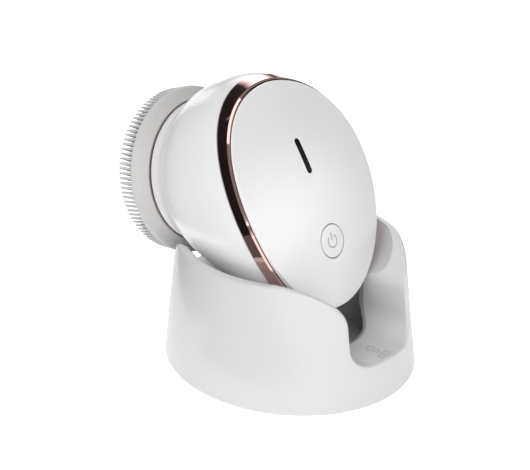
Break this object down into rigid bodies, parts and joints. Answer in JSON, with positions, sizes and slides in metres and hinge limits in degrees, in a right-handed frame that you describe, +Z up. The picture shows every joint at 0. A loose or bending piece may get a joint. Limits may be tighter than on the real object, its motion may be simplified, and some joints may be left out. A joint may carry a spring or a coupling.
{
  "type": "facial cleansing brush with cradle",
  "caption": "Egg-shaped powered cleansing brush with a silicone bristle head, resting tilted in an oval desk cradle with a cable slot.",
  "frame": {"origin": "centre of the underside of the cradle's foot mat", "axes": "+Z up, XZ is the symmetry plane, the brush faces -X and the cradle's cable slot opens to +X"},
  "size_m": [0.1025, 0.0814, 0.0963],
  "materials": {
    "white_gloss": "gloss",
    "cradle_white": "satin",
    "base_white": "matte",
    "charcoal_silicone": "matte",
    "grey_rubber": "matte",
    "rose_gold": "polished",
    "seal_rubber": "matte",
    "black_lens": "gloss",
    "brush_silicone": "satin",
    "hub_plastic": "matte",
    "steel": "brushed",
    "bearing_brass": "satin",
    "gear_plastic": "matte",
    "bracket_plastic": "matte",
    "board_green": "satin",
    "led_lens": "gloss",
    "cell_wrap": "satin",
    "socket_steel": "polished"
  },
  "bodies": {
    "cradle": {"cradle_shell": "cradle_white", "base_plate": "base_white", "ballast": "steel", "foot_mat": "grey_rubber", "base_screws": "steel", "seat_liner": "charcoal_silicone"},
    "handle": {"front_shell": "white_gloss", "trim_band": "rose_gold", "cover_seal": "seal_rubber", "back_cover": "white_gloss", "light_guide": "black_lens", "main_board": "board_green", "tact_switch": "bracket_plastic", "indicator_leds": "led_lens", "control_chip": "bracket_plastic", "board_screws": "steel", "battery_cell": "cell_wrap", "battery_cradle": "base_white", "charging_socket": "socket_steel", "neck_ring": "rose_gold", "shaft_bearing": "bearing_brass", "shaft_seal": "grey_rubber", "rear_bearing": "bearing_brass", "drive_motor": "steel", "motor_bracket": "bracket_plastic", "bracket_screws": "steel"},
    "power_button": {"button_cap": "white_gloss"},
    "plug": {"port_plug": "grey_rubber"},
    "spindle": {"drive_shaft": "steel", "output_gear": "gear_plastic"},
    "motor_rotor": {"motor_shaft": "steel", "motor_pinion": "gear_plastic"},
    "brush_head": {"brush_hub": "hub_plastic", "brush_collar": "brush_silicone", "bristle_field": "brush_silicone"}
  },
  "joints": [
    {"name": "handle_lift", "type": "slide", "parent": "cradle", "child": "handle", "axis": [0, 0, 1], "range_m": [0, 0.09]},
    {"name": "button_press", "type": "slide", "parent": "handle", "child": "power_button", "axis": [-0.9048, 0, -0.4258], "range_m": [0, 0.0006], "stiffness_N_per_m": 400},
    {"name": "brush_spin", "type": "hinge", "parent": "handle", "child": "spindle", "pos_m": [-0.0397, 0, 0.0574], "axis": [-0.9748, 0, -0.2233], "continuous": true},
    {"name": "motor_spin", "type": "hinge", "parent": "handle", "child": "motor_rotor", "pos_m": [-0.04287, 0, 0.07124], "axis": [-0.9748, 0, -0.2233], "continuous": true},
    {"name": "head_pull_off", "type": "slide", "parent": "spindle", "child": "brush_head", "axis": [-0.9748, 0, -0.2233], "range_m": [0, 0.02]},
    {"name": "plug_pull_out", "type": "slide", "parent": "handle", "child": "plug", "axis": [0.4258, 0, -0.9048], "range_m": [0, 0.006]}
  ],
  "couplings": [
    {"joint": "motor_spin", "follows": "brush_spin", "ratio": -2.5}
  ]
}
